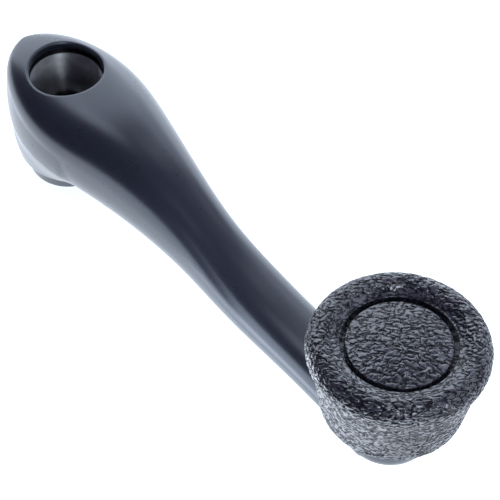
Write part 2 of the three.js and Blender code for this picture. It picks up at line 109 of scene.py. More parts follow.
def mathNode(tree, operation, *values):
    inputs = {f"at{i}": value for i, value in enumerate(values)}
    return addNode(tree, "ShaderNodeMath", {"operation": operation}, **inputs).outputs[0]


def vectorNode(tree, operation, *values, **named):
    inputs = {f"at{i}": value for i, value in enumerate(values)}
    return addNode(tree, "ShaderNodeVectorMath", {"operation": operation}, **inputs, **named).outputs[0]


def noiseNode(tree, vector, scale, detail, **more):
    return addNode(tree, "ShaderNodeTexNoise", {"noise_dimensions": "3D"}, Vector=vector, Scale=scale,
                   Detail=detail, **more).outputs


def smoothStep(tree, value, start, end, **more):
    return addNode(tree, "ShaderNodeMapRange", {"interpolation_type": "SMOOTHSTEP"}, Value=value,
                   From_Min=start, From_Max=end, **more).outputs[0]


def bumpNode(tree, height, depth, **more):
    return addNode(tree, "ShaderNodeBump", Height=height, Distance=depth, Strength=1.0, **more).outputs[0]


def newGroup(name, kind, inputs, outputs):
    tree = bpy.data.node_groups.new(name, kind)
    for label, socketType, value in inputs:
        socket = tree.interface.new_socket(label, in_out="INPUT", socket_type=socketType)
        if value is not None:
            socket.default_value = value
    for label, socketType in outputs:
        tree.interface.new_socket(label, in_out="OUTPUT", socket_type=socketType)
    return tree, tree.nodes.new("NodeGroupInput").outputs, tree.nodes.new("NodeGroupOutput")


# Studio: pale floor, dark walls that only reflections see, and soft boxes
studio = {
    "floorCorners": ((-500, -190), (500, 700)),
    "floorColor": (0.93, 0.94, 0.96, 1),
    "floorShown": (0.84, 0.92, 1.0, 1),
    "wallRadius": 1500,
    "wallSides": (48, 24),
    "wallColor": (0.39, 0.34, 0.44, 1),
    "lampColor": (0.80, 0.89, 1.0),
    "softBoxes": {
        # middle, point it faces, width, height, radiance
        "boxBack": ((-500, 445, 565), (0, 445, 565), 1010, 1100, 1.4),
        "boxHigh": ((-315, 67, 855), (0, 0, 25), 210, 230, 1.4),
        "boxSide": ((-180, 760, 330), (50, 0, 15), 420, 690, 0.9),
        "boxTop": ((-65, 460, 700), (50, 0, 15), 170, 440, 0.65),
        "boxLow": ((-180, 856, 171), (50, 0, 15), 1020, 310, 0.9),
        "boxRight": ((647, 345, 593), (50, 0, 15), 1380, 650, 0.6),
        "boxFront": ((648, -236, 604), (0, 0, 25), 200, 655, 3.6),
        "cardFront": ((71, -35, 21), (71, 0, 21), 32, 40, 2.4),
        "cardLow": ((110, -42, 0.5), (110, -42, 10), 140, 40, 1.3),
    },
}


def planeMesh(name, low, high):
    mesh = bpy.data.meshes.new(name)
    corners = [low, (high[0], low[1]), high, (low[0], high[1])]
    mesh.from_pydata([(x * mm, y * mm, 0) for x, y in corners], [], [(0, 1, 2, 3)])
    return bpy.data.objects.new(name, mesh)


def seenRays(tree):
    # 1 for rays from the camera and for those by gloss or glass
    path = tree.nodes.new("ShaderNodeLightPath").outputs
    seen = mathNode(tree, "MAXIMUM", path["Is Camera Ray"], path["Is Glossy Ray"])
    return mathNode(tree, "MAXIMUM", seen, path["Is Transmission Ray"])


def addLamp(name, place, faces, width, height, radiance, color):
    lamp = bpy.data.lights.new(name, "AREA")
    lamp.shape = "RECTANGLE"
    lamp.size, lamp.size_y = width * mm, height * mm
    lamp.energy = radiance * math.pi * lamp.size * lamp.size_y
    lamp.color = color
    box = bpy.data.objects.new(name, lamp)
    box.location = place * mm
    box.rotation_euler = (faces - place).to_track_quat("-Z", "Y").to_euler()
    box.visible_camera = False
    bpy.context.collection.objects.link(box)


def setStudio(s):
    floor = planeMesh("floor", *s["floorCorners"])
    paper = bpy.data.materials.new("paper")
    paper.use_nodes = True
    tree = paper.node_tree
    tree.nodes.clear()
    diffuse = addNode(tree, "ShaderNodeBsdfDiffuse", Color=s["floorColor"])
    shown = addNode(tree, "ShaderNodeEmission", Color=s["floorShown"], Strength=seenRays(tree))
    both = addNode(tree, "ShaderNodeAddShader", at0=diffuse.outputs[0], at1=shown.outputs[0])
    addNode(tree, "ShaderNodeOutputMaterial", Surface=both.outputs[0])
    floor.data.materials.append(paper)
    bpy.context.collection.objects.link(floor)

    sides, rings = s["wallSides"]
    bpy.ops.mesh.primitive_uv_sphere_add(segments=sides, ring_count=rings, radius=s["wallRadius"] * mm)
    walls = bpy.context.object
    walls.name = "walls"
    cloth = bpy.data.materials.new("dark_cloth")
    cloth.use_nodes = True
    fill(cloth.node_tree, cloth.node_tree.nodes["Principled BSDF"],
         {"Base Color": s["wallColor"], "Roughness": 1.0})
    walls.data.materials.append(cloth)
    walls.visible_camera = False
    walls.visible_shadow = False

    world = bpy.data.worlds.new("studio")
    bpy.context.scene.world = world
    world.use_nodes = True
    tree = world.node_tree
    tree.nodes.clear()
    back = addNode(tree, "ShaderNodeBackground", Color=(1, 1, 1, 1), Strength=seenRays(tree))
    addNode(tree, "ShaderNodeOutputWorld", Surface=back.outputs[0])

    for name, (place, faces, *rest) in s["softBoxes"].items():
        addLamp(name, Vector(place), Vector(faces), *rest, s["lampColor"])


setStudio(studio)
print("studio set")

# Leather grain: folds along the level lines of a bent noise, drawn out one way. Geometry nodes press the same
# folds into the skins of knob and cap, and the material paints shade into the creases.
grainShape = {"driftScale": 0.8, "driftReach": 3.0, "foldRoughness": 0.35, "gritDetail": 1.5,
              "swellScale": 1.1, "swellTop": 0.75}
noiseMiddle = 0.5
foldInputs = [
    ("Cells Per Metre", "NodeSocketFloat", 900.0), ("Flatness", "NodeSocketFloat", 1.8),
    ("Waviness", "NodeSocketFloat", 0.45), ("Edge Width", "NodeSocketFloat", 0.3),
    ("Lay", "NodeSocketFloat", 0.0), ("Stretch", "NodeSocketFloat", 1.0),
]


def grainFolds(tree, place, given):
    # the stretched place, and 1 on the crowns and 0 in the creases
    turned = addNode(tree, "ShaderNodeVectorRotate", {"rotation_type": "Z_AXIS"}, Vector=place,
                     Angle=given["Lay"]).outputs[0]
    drawnOut = addNode(tree, "ShaderNodeCombineXYZ", X=given["Stretch"], Y=1.0,
                       Z=given["Flatness"]).outputs[0]
    scaled = vectorNode(tree, "SCALE", vectorNode(tree, "MULTIPLY", turned, drawnOut),
                        Scale=given["Cells Per Metre"])
    drift = noiseNode(tree, scaled, grainShape["driftScale"], 1.0)["Color"]
    reach = mathNode(tree, "MULTIPLY", given["Waviness"], grainShape["driftReach"])
    pushed = vectorNode(tree, "SCALE", vectorNode(tree, "SUBTRACT", drift, (noiseMiddle,) * 3), Scale=reach)
    folds = noiseNode(tree, vectorNode(tree, "ADD", scaled, pushed), 1.0, 1.0,
                      Roughness=grainShape["foldRoughness"])["Fac"]
    away = mathNode(tree, "ABSOLUTE", mathNode(tree, "SUBTRACT", folds, noiseMiddle))
    return scaled, smoothStep(tree, away, 0.0, given["Edge Width"])


def makeLeatherGrain():
    tree, given, result = newGroup("leatherGrain", "ShaderNodeTree", [
        ("Vector", "NodeSocketVector", None), *foldInputs,
        ("Grit", "NodeSocketFloat", 0.25),
        ("Grit Scale", "NodeSocketFloat", 2.2),
    ], [("Height", "NodeSocketFloat"), ("Crown", "NodeSocketFloat"), ("Crease", "NodeSocketFloat")])
    scaled, crown = grainFolds(tree, given["Vector"], given)
    grit = noiseNode(tree, scaled, given["Grit Scale"], grainShape["gritDetail"])["Fac"]
    height = mathNode(tree, "ADD", crown, mathNode(tree, "MULTIPLY", grit, given["Grit"]))
    fill(tree, result, {"Height": height, "Crown": crown, "Crease": mathNode(tree, "SUBTRACT", 1.0, crown)})
    return tree


# Handling marks: soft cloudy patches that vary a finish
handlingClouds = {"detail": 4.0, "roughness": 0.6, "span": (0.3, 0.7)}


def makeHandling(h):
    tree, given, result = newGroup("handling", "ShaderNodeTree", [
        ("Vector", "NodeSocketVector", None),
        ("Patch Size", "NodeSocketFloat", 0.02),
        ("Low", "NodeSocketFloat", 0.2),
        ("High", "NodeSocketFloat", 0.3),
    ], [("Roughness", "NodeSocketFloat"), ("Cloud", "NodeSocketFloat")])
    scale = mathNode(tree, "DIVIDE", 1.0, given["Patch Size"])
    cloud = noiseNode(tree, given["Vector"], scale, h["detail"], Roughness=h["roughness"])["Fac"]
    rough = addNode(tree, "ShaderNodeMapRange", Value=cloud, From_Min=h["span"][0], From_Max=h["span"][1],
                    To_Min=given["Low"], To_Max=given["High"]).outputs[0]
    fill(tree, result, {"Roughness": rough, "Cloud": cloud})
    return tree


# Turning marks: rings round an upright axis, for what is turned, pressed or moulded round
turningMarks = {"ringDetail": 2.0, "cloudScale": 300.0, "cloudDetail": 3.0}


def makeTurning(t):
    tree, given, result = newGroup("turning", "ShaderNodeTree", [
        ("Vector", "NodeSocketVector", None),
        ("Axis X", "NodeSocketFloat", 0.0),
        ("Rings Per Metre", "NodeSocketFloat", 5000.0),
    ], [("Height", "NodeSocketFloat"), ("Cloud", "NodeSocketFloat")])
    axis = addNode(tree, "ShaderNodeCombineXYZ", X=given["Axis X"], Y=0.0, Z=0.0).outputs[0]
    local = vectorNode(tree, "SUBTRACT", given["Vector"], axis)
    x, y, z = addNode(tree, "ShaderNodeSeparateXYZ", Vector=local).outputs
    across = mathNode(tree, "ADD", mathNode(tree, "MULTIPLY", x, x), mathNode(tree, "MULTIPLY", y, y))
    track = addNode(tree, "ShaderNodeCombineXYZ", X=mathNode(tree, "SQRT", across), Y=0.0, Z=z).outputs[0]
    rings = noiseNode(tree, track, given["Rings Per Metre"], t["ringDetail"])["Fac"]
    cloud = noiseNode(tree, given["Vector"], t["cloudScale"], t["cloudDetail"])["Fac"]
    fill(tree, result, {"Height": rings, "Cloud": cloud})
    return tree


leatherGrain, handling, turning = makeLeatherGrain(), makeHandling(handlingClouds), makeTurning(turningMarks)


def newMaterial(name):
    material = bpy.data.materials.new(name)
    material.use_nodes = True
    tree = material.node_tree
    shader = tree.nodes["Principled BSDF"]
    coords = tree.nodes.new("ShaderNodeTexCoord").outputs["Object"]
    return material, tree, shader, coords


def groupNode(tree, group, coords, **values):
    node = tree.nodes.new("ShaderNodeGroup")
    node.node_tree = group
    return fill(tree, node, {"Vector": coords, **values}).outputs


def handlingNode(tree, coords, patchSize, roughness):
    return groupNode(tree, handling, coords, Patch_Size=patchSize, Low=roughness[0], High=roughness[1])


def tintBetween(tree, factor, first, second):
    # sockets 6 and 7 and output 2 are the mix node's colours
    mix = addNode(tree, "ShaderNodeMix", {"data_type": "RGBA"}, Factor=factor, at6=(*first, 1),
                  at7=(*second, 1))
    return mix.outputs[2]


# Satin black of the arm, with the fine witness line of the mould near the knob
satin = {
    "dark": (0.018, 0.021, 0.034),
    "light": (0.023, 0.026, 0.042),
    "roughness": (0.26, 0.32),
    "patchSize": 0.012,
    "orangePeel": 0.000004,
    "peelPerMetre": 900.0,
    "peelDetail": 2.0,
    "shine": {"IOR": 1.6, "Specular Tint": (0.75, 0.86, 1.0, 1), "Coat Weight": 1.0, "Coat IOR": 1.6,
              "Coat Roughness": 0.29},
    "lineFrom": (0.062, 0.01155),
    "lineTo": (0.094, 0.01085),
    "lineFadesIn": 0.006,
    "lineFadesOut": 0.004,
    "lineWidth": 0.00016,
    "lineDepth": 0.00008,
}


def makeSatin(s):
    material, tree, shader, coords = newMaterial("satin_black")
    marks = handlingNode(tree, coords, s["patchSize"], s["roughness"])
    peel = noiseNode(tree, coords, s["peelPerMetre"], s["peelDetail"])["Fac"]
    x, _, z = addNode(tree, "ShaderNodeSeparateXYZ", Vector=coords).outputs
    (x0, z0), (x1, z1) = s["lineFrom"], s["lineTo"]
    slope = (z1 - z0) / (x1 - x0)
    lineHeight = mathNode(tree, "ADD", mathNode(tree, "MULTIPLY", x, slope), z0 - slope * x0)
    off = mathNode(tree, "ABSOLUTE", mathNode(tree, "SUBTRACT", z, lineHeight))
    ridge = smoothStep(tree, off, 0.0, s["lineWidth"], To_Min=1.0, To_Max=0.0)
    begins = smoothStep(tree, x, x0, x0 + s["lineFadesIn"])
    ends = smoothStep(tree, x, x1, x1 + s["lineFadesOut"], To_Min=1.0, To_Max=0.0)
    line = mathNode(tree, "MULTIPLY", mathNode(tree, "MULTIPLY", ridge, begins), ends)
    fill(tree, shader, {
        **s["shine"], "Roughness": marks["Roughness"],
        "Base Color": tintBetween(tree, marks["Cloud"], s["dark"], s["light"]),
        "Normal": bumpNode(tree, line, s["lineDepth"], Normal=bumpNode(tree, peel, s["orangePeel"])),
    })
    return material


# Grained black of the knob and its cap, with painted shade in the creases: a darker colour and less coat
# there
grained = {
    # dark: painted shade in the creases; light: the crowns
    "grained_knob": {
        "folds": {"Cells Per Metre": 1000.0, "Flatness": 1.6, "Waviness": 0.28, "Edge Width": 0.14,
                  "Lay": -0.8, "Stretch": 0.6},
        "dark": (0.003, 0.003, 0.005), "light": (0.042, 0.038, 0.062), "roughness": (0.2, 0.27),
    },
    "grained_cap": {
        "folds": {"Cells Per Metre": 1150.0, "Flatness": 1.0, "Waviness": 0.28, "Edge Width": 0.13,
                  "Lay": -0.8, "Stretch": 0.6},
        "dark": (0.004, 0.004, 0.006), "light": (0.042, 0.038, 0.062), "roughness": (0.22, 0.3),
    },
}
grainedShine = {"IOR": 1.28, "Specular Tint": (0.82, 0.9, 1.0, 1), "Coat IOR": 2.45, "Coat Roughness": 0.2}
grainedMarks = {"grit": 0.5, "gritScale": 2.2, "depth": 0.0004, "patchSize": 0.008, "creaseDulls": 0.3,
                "coatLeast": 0.1, "crownCoat": 0.78}


def makeGrained(name, g, m=grainedMarks):
    material, tree, shader, coords = newMaterial(name)
    grain = groupNode(tree, leatherGrain, coords, **g["folds"], Grit=m["grit"], Grit_Scale=m["gritScale"])
    marks = handlingNode(tree, coords, m["patchSize"], g["roughness"])
    duller = mathNode(tree, "MULTIPLY", grain["Crease"], m["creaseDulls"])
    crownCoat = mathNode(tree, "MULTIPLY", grain["Crown"], m["crownCoat"])
    fill(tree, shader, {
        **grainedShine,
        # painted shade: the creases darker than the crowns, and with less coat
        "Base Color": tintBetween(tree, grain["Crease"], g["light"], g["dark"]),
        "Roughness": mathNode(tree, "ADD", marks["Roughness"], duller),
        "Coat Weight": mathNode(tree, "ADD", crownCoat, m["coatLeast"]),
        "Normal": bumpNode(tree, grain["Height"], m["depth"]),
    })
    return material


# Turned and pressed finishes: rings and soft patches on metal and on pale plastic
steelMarks = {"ringsPerMetre": 4200.0, "ringDepth": 0.000006, "patchSize": 0.004}
plasticMarks = {"ringsPerMetre": 2500.0, "ringDepth": 0.000008, "patchSize": 0.004}


def turnedFinish(name, axisX, m, roughness):
    material, tree, shader, coords = newMaterial(name)
    rings = groupNode(tree, turning, coords, Axis_X=axisX * mm, Rings_Per_Metre=m["ringsPerMetre"])
    marks = handlingNode(tree, coords, m["patchSize"], roughness)
    fill(tree, shader, {"Roughness": marks["Roughness"],
                        "Normal": bumpNode(tree, rings["Height"], m["ringDepth"])})
    return material, tree, shader, coords, rings["Cloud"], marks["Cloud"]


# Metals: the two tints they cloud between, and their roughness
metals = {
    "zinc_steel": ((0.52, 0.53, 0.55), (0.62, 0.63, 0.65), (0.22, 0.34)),
    "spring_steel": ((0.34, 0.34, 0.36), (0.44, 0.44, 0.46), (0.25, 0.38)),
    "phosphated_steel": ((0.16, 0.165, 0.17), (0.24, 0.245, 0.25), (0.42, 0.55)),
}


def makeMetal(name, dark, light, roughness):
    material, tree, shader, _, cloud, _ = turnedFinish(name, knobAxisX, steelMarks, roughness)
    fill(tree, shader, {"Base Color": tintBetween(tree, cloud, dark, light), "Metallic": 1.0})
    return material


# Insert: dark drawn steel with painted light and shade by height: black towards the floor of the cup, bright
# steel up its wall, and black again just under the rim
insertShadeByHeight = {
    "black": (0.02, 0.02, 0.024), "bright": (0.76, 0.76, 0.76), "roughness": (0.5, 0.6),
    "brightFrom": 0.0183, "brightTo": 0.0245, "rimShadeFrom": 0.0265, "rimShadeTo": 0.027, "leastCloud": 0.4,
    "drawn": {"Metallic": 1.0, "Anisotropic": 0.95, "Anisotropic Rotation": 0.25},
}


def makePaintedShadeSteel(r):
    material, tree, shader, coords, cloud, _ = turnedFinish("rubbed_steel", 0.0, steelMarks, r["roughness"])
    height = addNode(tree, "ShaderNodeSeparateXYZ", Vector=coords).outputs[2]
    # painted shade towards the cup's floor, bright steel higher up the wall
    paintedLightUpWall = smoothStep(tree, height, r["brightFrom"], r["brightTo"])
    # painted shade in a band just under the rim
    clearOfRimShade = smoothStep(tree, height, r["rimShadeTo"], r["rimShadeFrom"])
    mottledShade = mathNode(tree, "MULTIPLY", mathNode(tree, "MULTIPLY", paintedLightUpWall, clearOfRimShade),
                       mathNode(tree, "ADD", cloud, r["leastCloud"]))
    around = addNode(tree, "ShaderNodeTangent", {"direction_type": "RADIAL", "axis": "Z"}).outputs[0]
    fill(tree, shader, {**r["drawn"], "Base Color": tintBetween(tree, mottledShade, r["black"], r["bright"]),
                        "Tangent": around})
    return material


# Pale plastics of washer and bush: the two tints they cloud between, and their roughness
pale = {
    "natural_nylon": ((0.62, 0.59, 0.5), (0.7, 0.67, 0.58), (0.38, 0.5)),
    "natural_acetal": ((0.72, 0.7, 0.62), (0.78, 0.76, 0.68), (0.28, 0.4)),
}
paleGlow = {"Subsurface Weight": 0.15, "Subsurface Radius": (0.002, 0.0018, 0.0015), "Subsurface Scale": 0.5}


def makePale(name, dark, light, roughness):
    material, tree, shader, _, _, cloud = turnedFinish(name, knobAxisX, plasticMarks, roughness)
    fill(tree, shader, {**paleGlow, "Base Color": tintBetween(tree, cloud, dark, light)})
    return material


# the insert's steel carries painted light and shade by height
materials = {"satin_black": makeSatin(satin), "rubbed_steel": makePaintedShadeSteel(insertShadeByHeight)}
materials.update({name: makeGrained(name, g) for name, g in grained.items()})
materials.update({name: makeMetal(name, *m) for name, m in metals.items()})
materials.update({name: makePale(name, *p) for name, p in pale.items()})
print("materials made:", len(materials))

# The small pieces stay as the solids made them
solidFinishes = {
    "knob_pin": "zinc_steel", "thrust_washer": "natural_nylon", "wave_washer": "spring_steel",
    "star_clip": "phosphated_steel", "knob_bush": "natural_acetal",
}
for node, finish in solidFinishes.items():
    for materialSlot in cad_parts[node].material_slots:
        materialSlot.material = materials[finish]


def meshPiece(name, points, faces, finish, normals=None):
    mesh = bpy.data.meshes.new(name)
    mesh.from_pydata((np.asarray(points, float) * mm).tolist(), [], faces)
    mesh.update()
    mesh.shade_smooth()
    if normals is None:
        mesh.set_sharp_from_angle(angle=sharpAngle)
    else:
        mesh.normals_split_custom_set_from_vertices(normals.tolist())
    mesh.materials.append(materials[finish])
    piece = bpy.data.objects.new(name, mesh)
    bpy.context.collection.objects.link(piece)
    return piece


def hand(piece, body, node):
    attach(piece, body)
    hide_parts(node)
    print("piece made:", piece.name, len(piece.data.polygons), "faces")


# Arm: the same rails, boss, collar, eye, pocket and core as the solid, as one field with every edge
# softly rounded, meshed on a grid that is finer round the mouth. Sizes in millimetres.
arm = {
    "reach": knobAxisX, "hubTop": 31.3, "hubHalfWidth": 13.6,
    "eyeRadius": 9.4, "eyeTop": 15.6, "eyeBottom": 6.2, "eyeFootRound": 3.2, "eyeBrowRound": 1.4,
    "eyeBlend": 1.6,
    "crownPower": 2.3, "keelPower": 2.5,
    "bossRadius": 12.2, "bossEdge": 2.6, "bossBlend": 4, "blendStart": 7, "blendLeast": 0.02,
    "collarRadius": 8.65, "collarFlare": 0.65, "collarHeight": 4.2,
    "flankDrop": 1.5, "flankReach": 19, "flankInset": 0.25,
    "outlineFrom": 8, "outlineStep": 0.005, "outlineTurn": 2,
    "mouthRadius": 8.2, "mouthDepth": 3.9, "pocketRadius": 9.6, "pocketFoot": 16.7, "pocketGap": 0.3,
    "barrelBore": 6.6, "headBore": 5.9, "headBoreTop": 8.8, "pinBore": 3.9, "boreRound": 0.3,
    "boreOverrun": 1,
    "coreStart": 15, "coreEnd": 95, "coreRoof": 3.2, "coreCorner": 1.6, "coreEndRound": 1,
    "coreTopShare": 0.42, "coreMouthShare": 0.52, "coreOverrun": 5,
    "ribCount": 5, "ribThickness": 1.6, "ribSetBack": 1,
    "rimRound": 0.9, "edgeRound": 0.7,
    "sectionSteps": 3000, "bossSteps": 600,
    "gridFine": 0.36, "gridCoarse": 0.52, "gridMouth": 0.28, "gridTail": -16.2, "gridPastEye": 0.7,
    "gridPastSides": 1.2, "gridPastEnds": 0.6, "gridMouthFoot": 28.2, "gridMouthRoom": 0.1, "gridFineRoom": 1,
    # along the arm: place, half width, crown, widest line, keel
    "railShares": (
        (-0.144, 0, 0.778, 0.619, 0.861), (-0.144, 0.393, 0.787, 0.619, 0.608),
        (-0.066, 0.891, 1.002, 0.619, 0.299), (0.075, 1.111, 0.983, 0.619, 0.076),
        (0.207, 0.847, 0.971, 0.581, 0.103), (0.338, 0.632, 0.762, 0.542, 0.069),
        (0.469, 0.509, 0.359, 0.504, 0.022), (0.62, 0.589, 0.013, 0.504, -0.016),
        (0.808, 0.532, -0.07, 0.504, -0.002), (1, 0.675, -0.019, 0.504, 0.002),
    ),
    # up the boss: height, radius
    "bossShares": (
        (0, 0.86), (0.21, 0.901), (0.35, 0.965), (0.51, 0.988), (0.655, 1), (0.8, 1.033), (1, 0.911),
    ),
}
nearlyNothing = 1e-3


def clampedSpline(rows, steps):
    # cubic curve that starts and ends on its first and last rows
    rows = np.array(rows, float)
    spans = len(rows) - 3
    knots = np.concatenate([[0] * 3, np.arange(spans + 1) / spans, [1] * 3])
    out = []
    for t in np.linspace(0, 1, steps):
        span = min(int(t * spans), spans - 1) + 3
        work = [rows[span - 3 + i] for i in range(4)]
        for level in range(1, 4):
            for i in range(3, level - 1, -1):
                low, high = knots[span - 3 + i], knots[span + 1 + i - level]
                share = (t - low) / (high - low)
                work[i] = (1 - share) * work[i - 1] + share * work[i]
        out.append(work[3])
    return np.array(out)


def throughPoints(pairs, steps):
    # smooth curve through its points
    pairs = np.array(pairs, float)
    out = []
    for t in np.linspace(0, len(pairs) - 1, steps):
        i = min(int(t), len(pairs) - 2)
        w = t - i
        a, b, c, d = (pairs[min(max(k, 0), len(pairs) - 1)] for k in (i - 1, i, i + 1, i + 2))
        v, u = (c - a) / 2, (d - b) / 2
        out.append((2 * b - 2 * c + v + u) * w ** 3 + (3 * c - 3 * b - 2 * v - u) * w ** 2 + v * w + b)
    return np.array(out)


def softMax(a, b, blend):
    near = np.maximum(blend - np.abs(a - b), 0) / blend
    return np.maximum(a, b) + near * near * blend / 4


def softMin(a, b, blend):
    return -softMax(-a, -b, blend)


def armSections(a):
    climb, rise = a["hubTop"] - a["eyeTop"], a["hubTop"] - a["eyeBottom"]
    rows = []
    for x, w, crown, side, keel in a["railShares"]:
        top, bottom = a["eyeTop"] + crown * climb, a["eyeBottom"] + keel * rise
        rows.append((x * a["reach"], w * a["hubHalfWidth"], top, bottom + side * (top - bottom), bottom))
    return clampedSpline(rows, a["sectionSteps"])


sections = armSections(arm)
bossCurve = throughPoints(arm["bossShares"], arm["bossSteps"])


def sectionAt(x):
    return [np.interp(x, sections[:, 0], sections[:, k]) for k in range(1, 5)]


def hubOutlineRows(a):
    # the hub's widest line as angle and radius round its axis, no further out than the flank reaches
    radii = np.arange(a["outlineFrom"], a["flankReach"], a["outlineStep"])
    rows = []
    for angle in np.radians(np.arange(0, 181, a["outlineTurn"])):
        x, y = radii * math.cos(angle), radii * math.sin(angle)
        within = (y <= np.interp(x, sections[:, 0], sections[:, 1])) & (x >= sections[0, 0])
        rows.append((angle, radii[within].max() - a["flankInset"]))
    return np.array(rows)


hubOutline = hubOutlineRows(arm)


def armBody(x, y, z, top, side, bottom, w, a):
    # sections with a crown over the widest line and a keel under it
    w = np.maximum(w, nearlyNothing)
    above = z > side
    height = np.maximum(np.where(above, top - side, side - bottom), nearlyNothing)
    power = np.where(above, a["crownPower"], a["keelPower"])
    ring = np.abs(y / w) ** power + np.abs((z - side) / height) ** power
    fromArm = np.maximum((ring ** (1 / power) - 1) * np.minimum(w, height), sections[0, 0] - x)
    return np.maximum(fromArm, x - a["reach"])


def armHub(x, y, z, side, fromAxis, a):
    # the boss, and the flank that eases from the hub's widest line down to the boss
    bossWall = a["bossRadius"] * np.interp(z / a["hubTop"], bossCurve[:, 0], bossCurve[:, 1])
    outline = np.interp(np.arctan2(np.abs(y), x), hubOutline[:, 0], hubOutline[:, 1])
    drop = np.clip((side - z) / (side - a["collarHeight"]), 0, 1) ** a["flankDrop"]
    flankWall = outline + (bossWall - outline) * drop
    foot = a["collarHeight"] - z
    fromBoss, fromFlank = (np.maximum(softMax(fromAxis - wall, foot, a["bossEdge"]), z - side)
                           for wall in (bossWall, flankWall))
    return np.minimum(fromBoss, fromFlank)


def armCore(x, y, z, top, bottom, w, a):
    # the hollow under the arm, with ribs left standing
    roof = top - a["coreRoof"]
    shoulder = roof - a["coreCorner"]
    climb = (shoulder - z) / (shoulder - bottom + a["coreOverrun"])
    half = w * (a["coreTopShare"] + (a["coreMouthShare"] - a["coreTopShare"]) * climb)
    core = softMax(softMax(np.abs(y) - half, z - roof, 2 * a["coreCorner"]),
                   np.maximum(a["coreStart"] - x, x - a["coreEnd"]), a["coreEndRound"])
    for i in range(1, a["ribCount"] + 1):
        ribX = a["coreStart"] + (a["coreEnd"] - a["coreStart"]) * i / (a["ribCount"] + 1)
        foot = float(sectionAt(ribX)[3]) + a["ribSetBack"]
        rib = softMax(np.abs(x - ribX) - a["ribThickness"] / 2, foot - z, a["edgeRound"])
        core = softMax(core, -rib, a["edgeRound"])
    return core


def armField(p, a=arm):
    # nearly the distance to the arm's skin, negative inside
    x, y, z = p[..., 0], p[..., 1], p[..., 2]
    w, top, side, bottom = sectionAt(x)
    fromAxis, fromEyeAxis = np.hypot(x, y), np.hypot(x - a["reach"], y)
    blend = a["bossBlend"] * np.clip((side - z) / a["blendStart"], a["blendLeast"], 1)
    skin = softMin(armBody(x, y, z, top, side, bottom, w, a), armHub(x, y, z, side, fromAxis, a), blend)

    eye = softMax(softMax(fromEyeAxis - a["eyeRadius"], a["eyeBottom"] - z, a["eyeFootRound"]),
                  z - a["eyeTop"], a["eyeBrowRound"])
    skin = softMin(skin, eye, a["eyeBlend"])
    flare = a["collarRadius"] + a["collarFlare"] * np.clip(z / a["collarHeight"], 0, 1)
    collar = np.maximum(softMax(fromAxis - flare, -z, a["edgeRound"]),
                        z - a["collarHeight"] - a["coreOverrun"])
    skin = softMin(skin, collar, a["edgeRound"])

    pocketTop = a["hubTop"] - a["mouthDepth"] + a["pocketGap"]
    mouth = np.maximum(fromAxis - a["mouthRadius"], pocketTop - a["boreOverrun"] - z)
    pocket = np.maximum(np.maximum(fromAxis - a["pocketRadius"], z - pocketTop), a["pocketFoot"] - z)
    barrel = np.maximum(fromAxis - a["barrelBore"], z - pocketTop)
    skin = softMax(skin, -mouth, a["rimRound"])
    skin = softMax(skin, -softMin(pocket, barrel, a["boreRound"]), a["edgeRound"])

    head = np.maximum(fromEyeAxis - a["headBore"], z - a["headBoreTop"])
    skin = softMax(skin, -softMin(head, fromEyeAxis - a["pinBore"], a["boreRound"]), a["edgeRound"])
    return softMax(skin, -armCore(x, y, z, top, bottom, np.maximum(w, nearlyNothing), a), a["edgeRound"])


def slopeOf(field, p, step=0.02):
    out = np.empty_like(p)
    for k in range(3):
        shift = np.zeros(3)
        shift[k] = step
        out[:, k] = (field(p + shift) - field(p - shift)) / (2 * step)
    return out


def gridLine(low, high, fineLow, fineHigh, fine, coarse):
    before = np.linspace(low, fineLow, max(2, round((fineLow - low) / coarse) + 1))[:-1]
    middle = np.linspace(fineLow, fineHigh, round((fineHigh - fineLow) / fine) + 1)
    after = np.linspace(fineHigh, high, max(2, round((high - fineHigh) / coarse) + 1))[1:]
    return np.concatenate([before, middle, after])


def cellPoints(grid, value, inside):
    # the mean of the places where the skin cuts a cell's edges, how many there are, and the cut edges
    size = np.array(value.shape)
    total, count = np.zeros((*(size - 1), 3)), np.zeros(size - 1)
    cuts = []
    for axis in range(3):
        one, other = [slice(None)] * 3, [slice(None)] * 3
        one[axis], other[axis] = slice(0, -1), slice(1, None)
        one, other = tuple(one), tuple(other)
        a, b = value[one], value[other]
        cut = inside[one] != inside[other]
        share = np.where(cut, a / np.where(cut, a - b, 1), 0)
        cross = grid[one] + (grid[other] - grid[one]) * share[..., None]
        cross[~cut] = 0
        u, v = [k for k in range(3) if k != axis]
        for du, dv in ((0, 0), (0, 1), (1, 0), (1, 1)):
            # the edge on the cell's low or high side
            near = [slice(None)] * 3
            near[u] = slice(1 - du, size[u] - du)
            near[v] = slice(1 - dv, size[v] - dv)
            total += cross[tuple(near)]
            count += cut[tuple(near)]
        cuts.append(cut)
    return total / np.maximum(count, 1)[..., None], count, cuts


def cellFaces(number, inside, cuts):
    # one face round every cut edge, turned so that it looks out
    cells = number.shape
    faces = []
    for axis in range(3):
        u, v = [(1, 2), (2, 0), (0, 1)][axis]
        where = np.argwhere(cuts[axis])
        keep = (where[:, u] > 0) & (where[:, v] > 0) & (where[:, u] < cells[u]) & (where[:, v] < cells[v])
        where = where[keep]
        corner = []
        for du, dv in ((1, 1), (0, 1), (0, 0), (1, 0)):
            at = where.copy()
            at[:, u] -= du
            at[:, v] -= dv
            corner.append(number[tuple(at.T)])
        quad = np.stack(corner, 1)
        out = inside[tuple(where.T)]
        quad[~out] = quad[~out][:, ::-1]
        faces.append(quad)
    return np.concatenate(faces)


